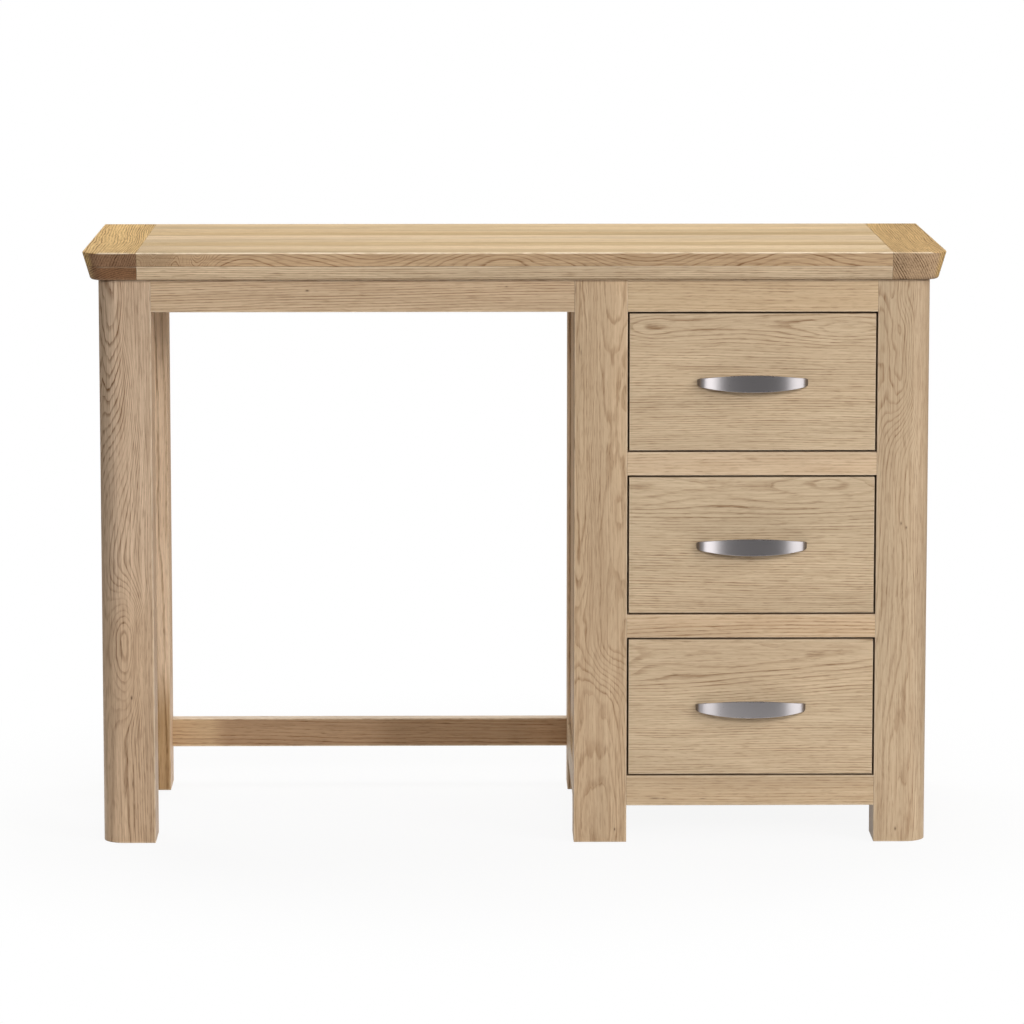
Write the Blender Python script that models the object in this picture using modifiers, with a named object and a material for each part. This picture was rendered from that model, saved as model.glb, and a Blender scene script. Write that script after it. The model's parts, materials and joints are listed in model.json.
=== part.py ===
"""Oak dressing table: a kneehole on the left and a pedestal of three drawers on the right.

The front faces -Y, +X is to the viewer's right and +Z is up. The origin lies on the floor, under the
middle of the whole piece. Six square legs are mortised for tenoned rails, flat panels sit in grooves
at the pedestal's sides and back, and the drawers are dovetailed boxes on wooden runners.
Places in the source are written as (x, depth, z), where depth runs back from the legs' front faces.
"""

import math

import bmesh
import bpy
from mathutils import Vector

# Whole table, in metres
TOP_WIDTH = 1.100
TOP_DEPTH = 0.450
TABLE_HEIGHT = 0.765
TOP_OVERHANG = 0.019
BACK_OVERHANG = 0.007

# Table top
TOP_UPPER_THICKNESS = 0.018
TOP_LOWER_THICKNESS = 0.018
TOP_END_WIDTH = 0.070
TOP_STRIP_WIDTH = 0.090
TOP_CORNER_RADIUS = 0.028
TOP_UNDERCUT = 0.0087
TOP_UNDERCUT_HEIGHT = 0.030
TOP_ARRIS = 0.001
TONGUE_LENGTH = 0.015
TONGUE_THICKNESS = 0.006
TONGUE_STOP = 0.030

# Legs and rails
LEG_SIZE = 0.068
LEG_CORNER_RADIUS = 0.028
ARRIS = 0.0008
PEDESTAL_OPENING_WIDTH = 0.319
RAIL_THICKNESS = 0.025
TOP_RAIL_HEIGHT = 0.0415
FOOT_HEIGHT = 0.048
BOTTOM_RAIL_HEIGHT = 0.039
SIDE_RAIL_HEIGHT = 0.042
DIVIDER_HEIGHT = 0.030
DIVIDER_DEPTH = 0.060
STRETCHER_THICKNESS = 0.020
STRETCHER_HEIGHT = 0.0385
STRETCHER_BOTTOM = 0.0515

# Joints of the carcass
TENON_END_WALL = 0.004
SHORT_TENON_LENGTH = 0.020
TENON_THICKNESS = 0.010
TENON_SETBACK = 0.008
TENON_SHOULDER = 0.005
PANEL_THICKNESS = 0.010
PANEL_SETBACK = 0.004
PANEL_GROOVE = 0.008

# Runners and kicker
RUNNER_WIDTH = 0.020
RUNNER_HEIGHT = 0.020
KICKER_WIDTH = 0.030
KICKER_HEIGHT = 0.025
KICKER_CLEARANCE = 0.002

# Drawers
FRONT_GAP = 0.0022
FRONT_THICKNESS = 0.020
SIDE_THICKNESS = 0.012
BACK_THICKNESS = 0.012
BOTTOM_THICKNESS = 0.006
BOTTOM_GROOVE = 0.005
BOTTOM_RAISE = 0.010
HEAD_ROOM = 0.006
STOP_GAP = 0.001
FRONT_TAIL_LENGTH = 0.014
FRONT_TAILS = 4
BACK_TAILS = 3
TAIL_SHARE = 0.62
TAIL_SLOPE = 1 / 7
BOARD_ARRIS = 0.0008

# Bow handles and their screws
HANDLE_HOLE_SPACING = 0.128
HANDLE_FOOT = 0.007
HANDLE_PROJECTION = 0.025
HANDLE_THICKNESS = 0.0045
HANDLE_HEIGHT = 0.0218
HANDLE_END_HEIGHT = 0.0077
HANDLE_ARRIS = 0.0007
SCREW_RADIUS = 0.002
SCREW_ENGAGEMENT = 0.006
SCREW_HEAD_RADIUS = 0.004
SCREW_HEAD_HEIGHT = 0.0024
SCREW_HEAD_TOP_SHARE = 0.75

# Clearance between pieces that touch, how far cutters run past a face, and what counts as one point
JOINT_GAP = 0.0003
OVERRUN = 0.004
WELD_DISTANCE = 0.00003

# Facets of the round shapes
CORNER_SEGMENTS = 8
EDGE_ROUND_SEGMENTS = 3
HANDLE_SEGMENTS = 18
SCREW_SIDES = 12

# Places that follow from the sizes above
TOP_THICKNESS = TOP_UPPER_THICKNESS + TOP_LOWER_THICKNESS
TOP_UNDERSIDE = TABLE_HEIGHT - TOP_THICKNESS
TOP_FRONT = -TOP_OVERHANG
TOP_BACK = TOP_DEPTH - TOP_OVERHANG
FRAME_DEPTH = TOP_BACK - BACK_OVERHANG
FRAME_TOP = TOP_UNDERSIDE - JOINT_GAP
FRAME_HALF_WIDTH = TOP_WIDTH / 2 - TOP_OVERHANG
FRONT_Y = -(TOP_BACK - max(TOP_OVERHANG, HANDLE_PROJECTION + JOINT_GAP)) / 2
LEFT_LEG_X = -FRAME_HALF_WIDTH
RIGHT_LEG_X = FRAME_HALF_WIDTH - LEG_SIZE
MIDDLE_LEG_X = RIGHT_LEG_X - PEDESTAL_OPENING_WIDTH - LEG_SIZE
OPENING_X = MIDDLE_LEG_X + LEG_SIZE
BACK_LEG_DEPTH = FRAME_DEPTH - LEG_SIZE
TENON_LENGTH = LEG_SIZE / 2 - TENON_END_WALL
TOP_RAIL_BOTTOM = TOP_UNDERSIDE - TOP_RAIL_HEIGHT
BOTTOM_RAIL_TOP = FOOT_HEIGHT + BOTTOM_RAIL_HEIGHT
DRAWER_COUNT = 3
OPENING_HEIGHT = (
    TOP_RAIL_BOTTOM - BOTTOM_RAIL_TOP - (DRAWER_COUNT - 1) * DIVIDER_HEIGHT
) / DRAWER_COUNT
BACK_PANEL_FRONT = FRAME_DEPTH - TENON_SETBACK - PANEL_THICKNESS

# Linear colour, roughness and metallic value of each material
OAK_TOP = ((0.56, 0.40, 0.24), 0.45, 0.0)
OAK_END = ((0.53, 0.36, 0.19), 0.45, 0.0)
OAK_LEG = ((0.48, 0.36, 0.25), 0.50, 0.0)
OAK_RAIL = ((0.52, 0.38, 0.24), 0.50, 0.0)
OAK_PANEL = ((0.42, 0.30, 0.19), 0.55, 0.0)
OAK_FRONT = ((0.57, 0.43, 0.27), 0.45, 0.0)
DRAWER_WOOD = ((0.60, 0.48, 0.32), 0.60, 0.0)
RUNNER_WOOD = ((0.46, 0.34, 0.22), 0.60, 0.0)
BRUSHED_METAL = ((0.55, 0.55, 0.56), 0.30, 1.0)
SCREW_METAL = ((0.60, 0.60, 0.60), 0.35, 1.0)


def clear_scene():
    for item in list(bpy.data.objects):
        bpy.data.objects.remove(item, do_unlink=True)


def new_collection(name):
    group = bpy.data.collections.new(name)
    bpy.context.scene.collection.children.link(group)
    return group


clear_scene()
PARTS = new_collection("dressing_table")
CUTTERS = new_collection("cutters")


def place(x, depth, z):
    """World point of a place that is written from the legs' front faces."""
    return Vector((x, FRONT_Y + depth, z))


def new_material(name, finish):
    colour, roughness, metallic = finish
    material = bpy.data.materials.new(name)
    material.use_nodes = True
    shader = material.node_tree.nodes["Principled BSDF"]
    shader.inputs["Base Color"].default_value = (*colour, 1.0)
    shader.inputs["Roughness"].default_value = roughness
    shader.inputs["Metallic"].default_value = metallic
    return material


def add_part(name, mesh, centre, finish, parent=None):
    """One sub-part at a world point, with a material of its own."""
    part = bpy.data.objects.new(name, mesh)
    mesh.materials.clear()
    mesh.materials.append(new_material(name, finish))
    mesh.shade_smooth()
    mesh.set_sharp_from_angle(angle=math.radians(30))
    PARTS.objects.link(part)
    if parent:
        part.parent = parent
        part.location = centre - parent.location
    else:
        part.location = centre
    return part


def add_helper(name, mesh, centre):
    """A solid that only cuts or joins others."""
    helper = bpy.data.objects.new(name, mesh)
    helper.location = centre
    helper.hide_render = True
    helper.display_type = "WIRE"
    CUTTERS.objects.link(helper)
    return helper


def box_mesh(name, size):
    """A box about its own origin."""
    shape = bmesh.new()
    bmesh.ops.create_cube(shape, size=1.0)
    bmesh.ops.scale(shape, vec=size, verts=shape.verts)
    mesh = bpy.data.meshes.new(name)
    shape.to_mesh(mesh)
    shape.free()
    return mesh


def add_bevel(part, width, segments=2):
    bevel = part.modifiers.new("arris", "BEVEL")
    bevel.width = width
    bevel.segments = segments
    bevel.limit_method = "ANGLE"
    bevel.angle_limit = math.radians(40)


def ease_long_edges(part, axis):
    """Eases only the edges along one axis, so that the ends can meet flush."""
    mesh = part.data
    weights = mesh.attributes.new("bevel_weight_edge", "FLOAT", "EDGE")
    for edge in mesh.edges:
        first, second = (mesh.vertices[index].co for index in edge.vertices)
        run = second - first
        if abs(run[axis]) > run.length / 2:
            weights.data[edge.index].value = 1.0
    add_bevel(part, ARRIS)
    part.modifiers["arris"].limit_method = "WEIGHT"


def add_box(name, low, high, finish, arris=ARRIS, parent=None):
    part = add_part(name, box_mesh(name, high - low), (low + high) / 2, finish, parent)
    if arris:
        add_bevel(part, arris)
    return part


def helper_box(name, low, high):
    return add_helper(name, box_mesh(name, high - low), (low + high) / 2)


def grown_box(name, low, high):
    """The hole that a piece between these corners sits in."""
    room = Vector((JOINT_GAP, JOINT_GAP, JOINT_GAP))
    return helper_box(name, low - room, high + room)


def combine(part, other, operation):
    step = part.modifiers.new(operation.lower(), "BOOLEAN")
    step.operation = operation
    step.solver = "EXACT"
    step.object = other


def cut(part, *others):
    for other in others:
        combine(part, other, "DIFFERENCE")


def outline_mesh(name, points, thickness):
    """A flat outline in a curve's XY plane, thickened evenly to both sides, as a welded mesh."""
    curve = bpy.data.curves.new(name, "CURVE")
    curve.dimensions = "2D"
    curve.fill_mode = "BOTH"
    curve.extrude = thickness / 2
    spline = curve.splines.new("POLY")
    spline.points.add(len(points) - 1)
    for point, (across, up) in zip(spline.points, points):
        point.co = (across, up, 0, 1)
    spline.use_cyclic_u = True
    source = bpy.data.objects.new(name, curve)
    CUTTERS.objects.link(source)
    view = bpy.context.evaluated_depsgraph_get()
    mesh = bpy.data.meshes.new_from_object(source.evaluated_get(view))
    bpy.data.objects.remove(source)
    shape = bmesh.new()
    shape.from_mesh(mesh)
    bmesh.ops.remove_doubles(shape, verts=shape.verts, dist=WELD_DISTANCE)
    bmesh.ops.recalc_face_normals(shape, faces=shape.faces)
    shape.to_mesh(mesh)
    shape.free()
    return mesh


def turn_mesh(mesh, across, up, through):
    """Turns an outline mesh so that its X, Y and Z run along the three given directions."""
    for vertex in mesh.vertices:
        vertex.co = across * vertex.co.x + up * vertex.co.y + through * vertex.co.z
    shape = bmesh.new()
    shape.from_mesh(mesh)
    bmesh.ops.recalc_face_normals(shape, faces=shape.faces)
    shape.to_mesh(mesh)
    shape.free()
    return mesh


RIGHT = Vector((1, 0, 0))
BACKWARD = Vector((0, 1, 0))
UP = Vector((0, 0, 1))


# Table top


def top_ring(shape, inset, z):
    """The top's outline at one height: round front corners, square back corners, plain back edge."""
    half = TOP_WIDTH / 2
    radius = TOP_CORNER_RADIUS - inset
    front_centre = TOP_FRONT + TOP_CORNER_RADIUS
    side_centre = half - TOP_CORNER_RADIUS
    points = [(-half + inset, TOP_BACK)]
    for side, first in ((-1, math.pi), (1, 1.5 * math.pi)):
        for step in range(CORNER_SEGMENTS + 1):
            angle = first + step * math.pi / 2 / CORNER_SEGMENTS
            across = side * side_centre + radius * math.cos(angle)
            points.append((across, front_centre + radius * math.sin(angle)))
    points.append((half - inset, TOP_BACK))
    verts = [shape.verts.new(place(across, depth, z)) for across, depth in points]
    edges = [shape.edges.new((a, b)) for a, b in zip(verts, verts[1:] + verts[:1])]
    return verts, edges


def top_envelope():
    """The whole top as one solid: slightly undercut edges with a rounded lower corner."""
    round_radius = TOP_THICKNESS - TOP_UNDERCUT_HEIGHT
    levels = [(TOP_ARRIS, TABLE_HEIGHT), (0, TABLE_HEIGHT - TOP_ARRIS)]
    for step in range(EDGE_ROUND_SEGMENTS + 1):
        angle = step * math.pi / 2 / EDGE_ROUND_SEGMENTS
        inset = TOP_UNDERCUT + round_radius * (1 - math.cos(angle))
        drop = TOP_UNDERCUT_HEIGHT + round_radius * math.sin(angle)
        levels.append((inset, TABLE_HEIGHT - drop))
    shape = bmesh.new()
    rings = [top_ring(shape, inset, z) for inset, z in levels]
    for (_, above), (_, below) in zip(rings, rings[1:]):
        bmesh.ops.bridge_loops(shape, edges=above + below)
    shape.faces.new(rings[0][0])
    shape.faces.new(rings[-1][0])
    bmesh.ops.recalc_face_normals(shape, faces=shape.faces)
    mesh = bpy.data.meshes.new("top_envelope")
    shape.to_mesh(mesh)
    shape.free()
    return add_helper("top_envelope", mesh, Vector((0, 0, 0)))


def add_top_piece(name, envelope, x_range, depth_range, z_range, finish):
    """A board of the top: a box that the top's envelope trims to the edge profile."""
    half_gap = JOINT_GAP / 2
    low = []
    high = []
    limits = ((-TOP_WIDTH / 2, TOP_WIDTH / 2), (TOP_FRONT, TOP_BACK), (TOP_UNDERSIDE, TABLE_HEIGHT))
    for (start, end), (first, last) in zip((x_range, depth_range, z_range), limits):
        low.append(start - OVERRUN if start == first else start + half_gap)
        high.append(end + OVERRUN if end == last else end - half_gap)
    part = add_box(name, place(*low), place(*high), finish, arris=0)
    combine(part, envelope, "INTERSECT")
    return part


def add_table_top():
    envelope = top_envelope()
    half = TOP_WIDTH / 2
    joint = half - TOP_END_WIDTH
    split = TOP_UNDERSIDE + TOP_LOWER_THICKNESS
    full_depth = (TOP_FRONT, TOP_BACK)
    upper = (split, TABLE_HEIGHT)
    lower = (TOP_UNDERSIDE, split)
    front_strip = (TOP_FRONT, TOP_FRONT + TOP_STRIP_WIDTH)
    back_strip = (TOP_BACK - TOP_STRIP_WIDTH, TOP_BACK)
    panel = add_top_piece("top_centre_panel", envelope, (-joint, joint), full_depth, upper, OAK_TOP)
    left = add_top_piece("top_end_left", envelope, (-half, -joint), full_depth, upper, OAK_END)
    right = add_top_piece(
        "top_end_right", envelope, (joint, half), full_depth, (TOP_UNDERSIDE, TABLE_HEIGHT), OAK_END
    )
    add_top_piece("top_end_left_lower", envelope, (-half, -joint), full_depth, lower, OAK_END)
    add_top_piece("top_front_lower_strip", envelope, (-joint, joint), front_strip, lower, OAK_RAIL)
    add_top_piece("top_back_lower_strip", envelope, (-joint, joint), back_strip, lower, OAK_RAIL)
    tongue_middle = split + TOP_UPPER_THICKNESS / 2
    low = place(-joint - TONGUE_LENGTH, TOP_FRONT + TONGUE_STOP, tongue_middle - TONGUE_THICKNESS / 2)
    high = place(joint + TONGUE_LENGTH, TOP_BACK - TONGUE_STOP, tongue_middle + TONGUE_THICKNESS / 2)
    combine(panel, helper_box("top_tongue", low, high), "UNION")
    groove = grown_box("top_groove", low, high)
    cut(left, groove)
    cut(right, groove)


# Legs


def add_leg(name, x, depth, rounded_side=0):
    """A square leg. rounded_side is -1 or 1 where its outer front edge is well rounded."""
    low = place(x, depth, 0)
    high = place(x + LEG_SIZE, depth + LEG_SIZE, FRAME_TOP)
    mesh = box_mesh(name, high - low)
    if rounded_side:
        shape = bmesh.new()
        shape.from_mesh(mesh)
        outer = [
            edge
            for edge in shape.edges
            if all(vert.co.x * rounded_side > 0 and vert.co.y < 0 for vert in edge.verts)
        ]
        bmesh.ops.bevel(
            shape,
            geom=outer,
            offset=LEG_CORNER_RADIUS,
            segments=CORNER_SEGMENTS,
            profile=0.5,
            affect="EDGES",
        )
        shape.to_mesh(mesh)
        shape.free()
    leg = add_part(name, mesh, (low + high) / 2, OAK_LEG)
    add_bevel(leg, ARRIS)
    return leg


def add_legs():
    return {
        "front_left": add_leg("leg_front_left", LEFT_LEG_X, 0, rounded_side=-1),
        "front_middle": add_leg("leg_front_middle", MIDDLE_LEG_X, 0),
        "front_right": add_leg("leg_front_right", RIGHT_LEG_X, 0, rounded_side=1),
        "back_left": add_leg("leg_back_left", LEFT_LEG_X, BACK_LEG_DEPTH),
        "back_middle": add_leg("leg_back_middle", MIDDLE_LEG_X, BACK_LEG_DEPTH),
        "back_right": add_leg("leg_back_right", RIGHT_LEG_X, BACK_LEG_DEPTH),
    }


# Rails


def add_rail(name, low, high, tenon_low, tenon_high, legs, finish=OAK_RAIL):
    """A rail between two legs. Its tenons are the ends of one bar that runs through it."""
    length_axis = 0 if tenon_low.x < low.x else 1
    room = Vector((0, 0, 0))
    room[length_axis] = JOINT_GAP
    rail = add_box(name, low + room, high - room, finish, arris=0)
    ease_long_edges(rail, length_axis)
    combine(rail, helper_box(name + "_tenons", tenon_low, tenon_high), "UNION")
    mortise = grown_box(name + "_mortises", tenon_low, tenon_high)
    for leg in legs:
        cut(leg, mortise)
    return rail


def add_front_rail(name, x_start, x_end, z_low, z_high, legs):
    """A rail set on edge, flush with the front of the legs."""
    tenon_low = place(x_start - TENON_LENGTH, TENON_SETBACK, z_low + TENON_SHOULDER)
    tenon_high = place(
        x_end + TENON_LENGTH, TENON_SETBACK + TENON_THICKNESS, z_high - TENON_SHOULDER
    )
    low = place(x_start, 0, z_low)
    high = place(x_end, RAIL_THICKNESS, z_high)
    return add_rail(name, low, high, tenon_low, tenon_high, legs)


def add_back_rail(name, x_start, x_end, z_low, z_high, legs, thickness=RAIL_THICKNESS, panel=None):
    """A rail flush with the back of the legs. panel is the edge that holds a panel, low or high."""
    tenon_back = FRAME_DEPTH - TENON_SETBACK
    bottom_shoulder = TENON_SHOULDER + (PANEL_GROOVE if panel == "low" else 0)
    top_shoulder = TENON_SHOULDER + (PANEL_GROOVE if panel == "high" else 0)
    tenon_low = place(
        x_start - TENON_LENGTH, tenon_back - TENON_THICKNESS, z_low + bottom_shoulder
    )
    tenon_high = place(x_end + TENON_LENGTH, tenon_back, z_high - top_shoulder)
    low = place(x_start, FRAME_DEPTH - thickness, z_low)
    high = place(x_end, FRAME_DEPTH, z_high)
    return add_rail(name, low, high, tenon_low, tenon_high, legs)


def add_side_rail(name, outer_x, inward, z_low, z_high, legs, panel=None):
    """A rail from front to back, flush with the outer face of its legs."""
    bottom_shoulder = TENON_SHOULDER + (PANEL_GROOVE if panel == "low" else 0)
    top_shoulder = TENON_SHOULDER + (PANEL_GROOVE if panel == "high" else 0)
    faces = sorted((outer_x, outer_x + inward * RAIL_THICKNESS))
    tenon_start = outer_x + inward * TENON_SETBACK
    tenon_faces = sorted((tenon_start, tenon_start + inward * TENON_THICKNESS))
    tenon_low = place(tenon_faces[0], LEG_SIZE - TENON_LENGTH, z_low + bottom_shoulder)
    tenon_high = place(tenon_faces[1], BACK_LEG_DEPTH + TENON_LENGTH, z_high - top_shoulder)
    low = place(faces[0], LEG_SIZE, z_low)
    high = place(faces[1], BACK_LEG_DEPTH, z_high)
    return add_rail(name, low, high, tenon_low, tenon_high, legs)


def add_divider(name, z_low, legs):
    """A flat rail between two drawers."""
    low = place(OPENING_X, 0, z_low)
    high = place(RIGHT_LEG_X, DIVIDER_DEPTH, z_low + DIVIDER_HEIGHT)
    middle = z_low + DIVIDER_HEIGHT / 2
    tenon_low = place(
        OPENING_X - SHORT_TENON_LENGTH, TENON_SETBACK, middle - TENON_THICKNESS / 2
    )
    tenon_high = place(
        RIGHT_LEG_X + SHORT_TENON_LENGTH,
        DIVIDER_DEPTH - TENON_SETBACK,
        middle + TENON_THICKNESS / 2,
    )
    return add_rail(name, low, high, tenon_low, tenon_high, legs)


def add_panel(name, low, high, holders):
    """A flat panel that reaches into a groove of each piece around it."""
    panel = add_box(name, low, high, OAK_PANEL, arris=BOARD_ARRIS)
    groove = grown_box(name + "_groove", low, high)
    for holder in holders:
        cut(holder, groove)
    return panel


def add_kneehole(legs):
    x_start = LEFT_LEG_X + LEG_SIZE
    x_end = MIDDLE_LEG_X
    front_pair = (legs["front_left"], legs["front_middle"])
    back_pair = (legs["back_left"], legs["back_middle"])
    left_pair = (legs["front_left"], legs["back_left"])
    add_front_rail("kneehole_front_rail", x_start, x_end, TOP_RAIL_BOTTOM, FRAME_TOP, front_pair)
    add_back_rail("kneehole_back_rail", x_start, x_end, TOP_RAIL_BOTTOM, FRAME_TOP, back_pair)
    add_side_rail("left_side_rail", LEFT_LEG_X, 1, TOP_RAIL_BOTTOM, FRAME_TOP, left_pair)
    add_back_rail(
        "back_stretcher",
        x_start,
        x_end,
        STRETCHER_BOTTOM,
        STRETCHER_BOTTOM + STRETCHER_HEIGHT,
        back_pair,
        thickness=STRETCHER_THICKNESS,
    )


def add_pedestal_front(legs):
    pair = (legs["front_middle"], legs["front_right"])
    span = (OPENING_X, RIGHT_LEG_X)
    add_front_rail("pedestal_front_top_rail", *span, TOP_RAIL_BOTTOM, FRAME_TOP, pair)
    add_front_rail("pedestal_front_bottom_rail", *span, FOOT_HEIGHT, BOTTOM_RAIL_TOP, pair)
    add_divider("drawer_divider_lower", opening_bottom(1) - DIVIDER_HEIGHT, pair)
    add_divider("drawer_divider_upper", opening_bottom(2) - DIVIDER_HEIGHT, pair)


def add_pedestal_side(side, outer_x, inward, front_leg, back_leg):
    """Two side rails and the flat panel between them and the legs."""
    pair = (front_leg, back_leg)
    side_rail_top = FOOT_HEIGHT + SIDE_RAIL_HEIGHT
    prefix = "pedestal_" + side
    top = add_side_rail(
        prefix + "_top_rail", outer_x, inward, TOP_RAIL_BOTTOM, FRAME_TOP, pair, panel="low"
    )
    bottom = add_side_rail(
        prefix + "_bottom_rail", outer_x, inward, FOOT_HEIGHT, side_rail_top, pair, panel="high"
    )
    near = outer_x + inward * PANEL_SETBACK
    faces = sorted((near, near + inward * PANEL_THICKNESS))
    reach = PANEL_GROOVE - JOINT_GAP
    low = place(faces[0], LEG_SIZE - reach, side_rail_top - reach)
    high = place(faces[1], BACK_LEG_DEPTH + reach, TOP_RAIL_BOTTOM + reach)
    add_panel(prefix + "_panel", low, high, (front_leg, back_leg, top, bottom))


def add_pedestal_back(legs):
    pair = (legs["back_middle"], legs["back_right"])
    span = (OPENING_X, RIGHT_LEG_X)
    top = add_back_rail(
        "pedestal_back_top_rail", *span, TOP_RAIL_BOTTOM, FRAME_TOP, pair, panel="low"
    )
    bottom = add_back_rail(
        "pedestal_back_bottom_rail", *span, FOOT_HEIGHT, BOTTOM_RAIL_TOP, pair, panel="high"
    )
    reach = PANEL_GROOVE - JOINT_GAP
    low = place(OPENING_X - reach, BACK_PANEL_FRONT, BOTTOM_RAIL_TOP - reach)
    high = place(
        RIGHT_LEG_X + reach, BACK_PANEL_FRONT + PANEL_THICKNESS, TOP_RAIL_BOTTOM + reach
    )
    add_panel("pedestal_back_panel", low, high, (*pair, top, bottom))


def opening_bottom(level):
    """Height of the floor of a drawer's opening, counted from the lowest."""
    return BOTTOM_RAIL_TOP + level * (OPENING_HEIGHT + DIVIDER_HEIGHT)


def add_runners(level, level_name):
    """Two runners, each fixed to the inner faces of a front and a back leg."""
    front_end = (RAIL_THICKNESS if level == 0 else DIVIDER_DEPTH) + JOINT_GAP
    back_end = FRAME_DEPTH - RAIL_THICKNESS - JOINT_GAP
    z_high = opening_bottom(level)
    z_low = z_high - RUNNER_HEIGHT
    left_x = OPENING_X + JOINT_GAP
    right_x = RIGHT_LEG_X - JOINT_GAP - RUNNER_WIDTH
    for side, x in (("left", left_x), ("right", right_x)):
        low = place(x, front_end, z_low)
        high = place(x + RUNNER_WIDTH, back_end, z_high)
        add_box("runner_" + level_name + "_" + side, low, high, RUNNER_WOOD, arris=BOARD_ARRIS)


def add_kicker():
    """The strip above the upper drawer's back that keeps it level as it is pulled out."""
    middle = (OPENING_X + RIGHT_LEG_X) / 2
    z_low = opening_bottom(DRAWER_COUNT - 1) + OPENING_HEIGHT - HEAD_ROOM + KICKER_CLEARANCE
    low = place(middle - KICKER_WIDTH / 2, RAIL_THICKNESS + JOINT_GAP, z_low)
    high = place(
        middle + KICKER_WIDTH / 2,
        FRAME_DEPTH - RAIL_THICKNESS - JOINT_GAP,
        z_low + KICKER_HEIGHT,
    )
    add_box("upper_drawer_kicker", low, high, RUNNER_WOOD, arris=BOARD_ARRIS)


# Drawers


def tail_comb(base, tip, low, high, count, room):
    """Points along a row of dovetails, upwards. Each tail widens from its base to its tip."""
    pitch = (high - low) / count
    half_tip = pitch * TAIL_SHARE / 2
    half_base = half_tip - TAIL_SLOPE * abs(tip - base)
    points = []
    for index in range(count):
        middle = low + (index + 0.5) * pitch
        points.append((base, middle - half_base - room))
        points.append((tip, middle - half_tip - room))
        points.append((tip, middle + half_tip + room))
        points.append((base, middle + half_base + room))
    return points


def side_outline(length, height, back_low):
    """A drawer side seen from its side: tails at the front, and at the back above the bottom."""
    front_base = FRONT_THICKNESS + JOINT_GAP
    front_tip = FRONT_THICKNESS - FRONT_TAIL_LENGTH
    back_base = length - BACK_THICKNESS - JOINT_GAP
    front = tail_comb(front_base, front_tip, 0, height, FRONT_TAILS, 0)
    back = tail_comb(back_base, length, back_low, height, BACK_TAILS, 0)
    points = [(front_base, 0), *front, (front_base, height), (back_base, height), *reversed(back)]
    points += [(back_base, back_low - JOINT_GAP), (length, back_low - JOINT_GAP), (length, 0)]
    return points


def socket_outline(face, tip, low, high, count):
    """The sockets for a row of tails, joined by a strip that lies outside the board."""
    outward = 1 if face > tip else -1
    strip = face + outward * OVERRUN
    room = JOINT_GAP
    base = face + outward * JOINT_GAP
    end = tip - outward * room
    points = [(strip, low - OVERRUN), (base, low - OVERRUN)]
    points += tail_comb(base, end, low, high, count, room)
    points += [(base, high + OVERRUN), (strip, high + OVERRUN)]
    return points


def side_board_mesh(name, outline, thickness):
    """An outline in the depth and height plane, as a board that is thick across the drawer."""
    return turn_mesh(outline_mesh(name, outline, thickness), BACKWARD, UP, RIGHT)


def add_drawer_side(name, outline, x_middle, bottom_z, parent):
    mesh = side_board_mesh(name, outline, SIDE_THICKNESS)
    return add_part(name, mesh, place(x_middle, 0, bottom_z), DRAWER_WOOD, parent)


def add_drawer(level, level_name):
    """A dovetailed drawer, hung on an empty that lies on its line of travel."""
    opening_low = opening_bottom(level)
    middle_x = (OPENING_X + RIGHT_LEG_X) / 2
    half_width = PEDESTAL_OPENING_WIDTH / 2 - FRONT_GAP
    bottom_z = opening_low + JOINT_GAP
    height = OPENING_HEIGHT - HEAD_ROOM - JOINT_GAP
    length = BACK_PANEL_FRONT - STOP_GAP
    prefix = "drawer_" + level_name

    slide = bpy.data.objects.new(prefix + "_slide", None)
    slide.location = place(middle_x, 0, opening_low + OPENING_HEIGHT / 2)
    PARTS.objects.link(slide)

    panel_low_z = BOTTOM_RAISE
    back_low = panel_low_z + BOTTOM_THICKNESS + JOINT_GAP
    outline = side_outline(length, height, back_low)
    side_offset = half_width - SIDE_THICKNESS / 2
    sides = {}
    for side, sign in (("left", -1), ("right", 1)):
        name = prefix + "_side_" + side
        sides[side] = add_drawer_side(
            name, outline, middle_x + sign * side_offset, bottom_z, slide
        )

    front = add_box(
        prefix + "_front",
        place(middle_x - half_width, 0, opening_low + FRONT_GAP),
        place(middle_x + half_width, FRONT_THICKNESS, opening_low + OPENING_HEIGHT - FRONT_GAP),
        OAK_FRONT,
        arris=ARRIS,
        parent=slide,
    )
    back = add_box(
        prefix + "_back",
        place(middle_x - half_width, length - BACK_THICKNESS, bottom_z + back_low),
        place(middle_x + half_width, length, bottom_z + height),
        DRAWER_WOOD,
        arris=0,
        parent=slide,
    )

    front_sockets = socket_outline(
        FRONT_THICKNESS, FRONT_THICKNESS - FRONT_TAIL_LENGTH, 0, height, FRONT_TAILS
    )
    back_sockets = socket_outline(
        length - BACK_THICKNESS, length, back_low, height, BACK_TAILS
    )
    socket_width = SIDE_THICKNESS + JOINT_GAP + OVERRUN
    socket_offset = half_width - SIDE_THICKNESS - JOINT_GAP + socket_width / 2
    for side, sign in (("left", -1), ("right", 1)):
        centre = place(middle_x + sign * socket_offset, 0, bottom_z)
        for board, points, end in ((front, front_sockets, "front"), (back, back_sockets, "back")):
            name = prefix + "_sockets_" + end + "_" + side
            cut(board, add_helper(name, side_board_mesh(name, points, socket_width), centre))

    inner_half = half_width - SIDE_THICKNESS
    reach = BOTTOM_GROOVE - JOINT_GAP
    panel_low = place(
        middle_x - inner_half - reach, FRONT_THICKNESS - reach, bottom_z + panel_low_z
    )
    panel_high = place(
        middle_x + inner_half + reach, length, bottom_z + panel_low_z + BOTTOM_THICKNESS
    )
    add_box(prefix + "_bottom", panel_low, panel_high, DRAWER_WOOD, arris=0, parent=slide)
    groove = grown_box(prefix + "_bottom_groove", panel_low, panel_high)
    for board in (front, sides["left"], sides["right"]):
        cut(board, groove)

    add_handle(prefix, front, slide)


# Handles


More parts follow.
